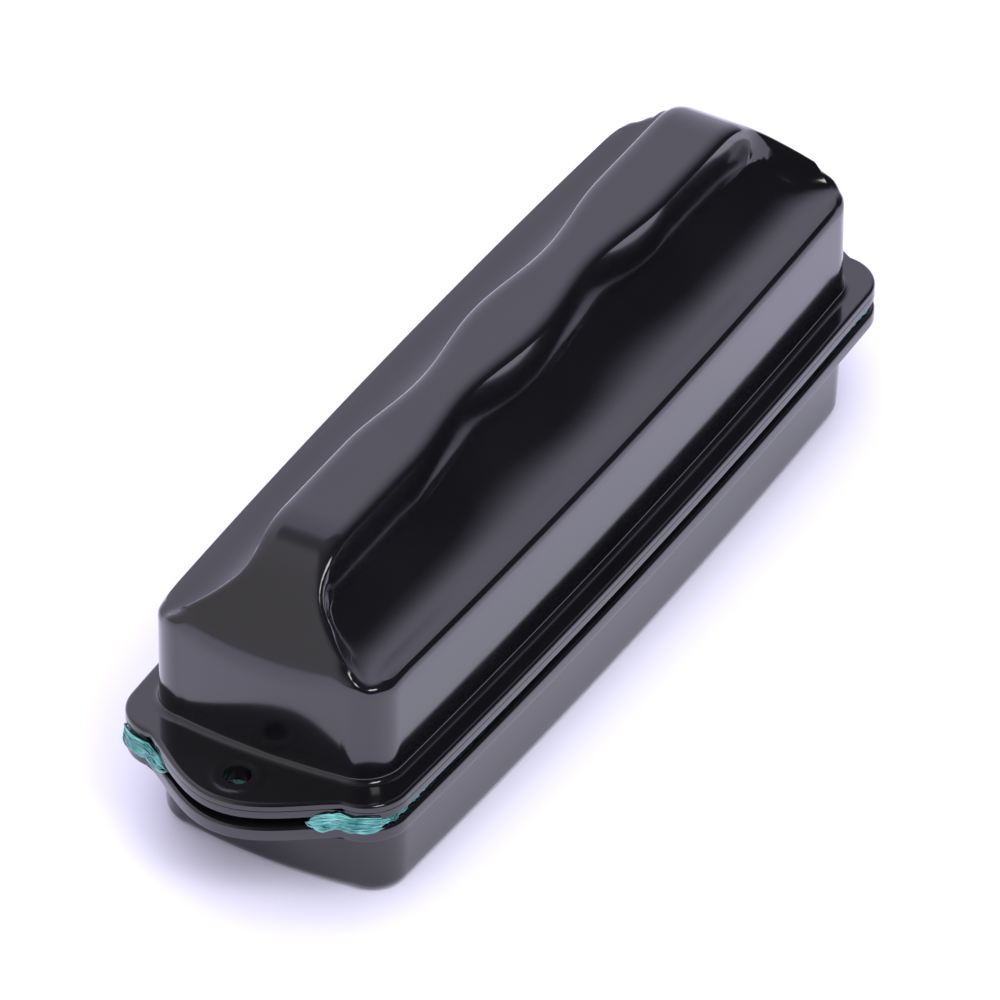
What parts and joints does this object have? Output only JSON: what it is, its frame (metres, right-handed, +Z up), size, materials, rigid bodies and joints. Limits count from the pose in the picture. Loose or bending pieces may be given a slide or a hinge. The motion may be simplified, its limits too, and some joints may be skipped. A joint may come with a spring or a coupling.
{
  "type": "magnetic glass cleaner",
  "caption": "Two-part magnetic aquarium glass cleaner: grip half with finger scoops over a sealed scrubber half, felt and scouring pads between.",
  "frame": {"origin": "middle of the flat back of the scrubber half, which the closed pair stands on", "axes": "+X along the length through both tether ears, +Y across the width, +Z up from the scrubber half to the top of the finger ridge"},
  "size_m": [0.12, 0.0354, 0.0386],
  "materials": {
    "gloss_black_plastic": "polished moulding, near black, soft wide reflections",
    "frame_plastic": "matte dark grey moulding",
    "ferrite": "dull charcoal ferrite, ground faces",
    "yoke_steel": "zinc-plated sheet steel",
    "foam": "closed-cell foam, matte charcoal",
    "adhesive_film": "pale double-sided film",
    "seal_rubber": "matte black rubber",
    "black_felt": "dense short-pile felt",
    "scouring_cloth": "teal nylon monofilament cloth with a wet-looking sheen"
  },
  "bodies": {
    "scrubber_half": {"scrubber_tub": "gloss_black_plastic", "scrubber_face_plate": "gloss_black_plastic", "scrubber_gasket": "seal_rubber", "scrubber_pad_glue": "adhesive_film", "scrubber_pad": "scouring_cloth", "scrubber_magnet_frame": "frame_plastic", "scrubber_magnet_1": "ferrite", "scrubber_magnet_2": "ferrite", "scrubber_magnet_3": "ferrite", "scrubber_magnet_4": "ferrite", "scrubber_yoke": "yoke_steel", "scrubber_foam": "foam"},
    "handle_half": {"handle_shell": "gloss_black_plastic", "handle_base_plate": "gloss_black_plastic", "handle_felt_glue": "adhesive_film", "handle_felt_pad": "black_felt", "handle_magnet_frame": "frame_plastic", "handle_magnet_1": "ferrite", "handle_magnet_2": "ferrite", "handle_magnet_3": "ferrite", "handle_magnet_4": "ferrite", "handle_yoke": "yoke_steel", "handle_foam": "foam"}
  },
  "joints": [
    {"name": "handle_lift", "type": "slide", "parent": "scrubber_half", "child": "handle_half", "axis": [0, 0, 1], "range_m": [0, 0.06]}
  ]
}
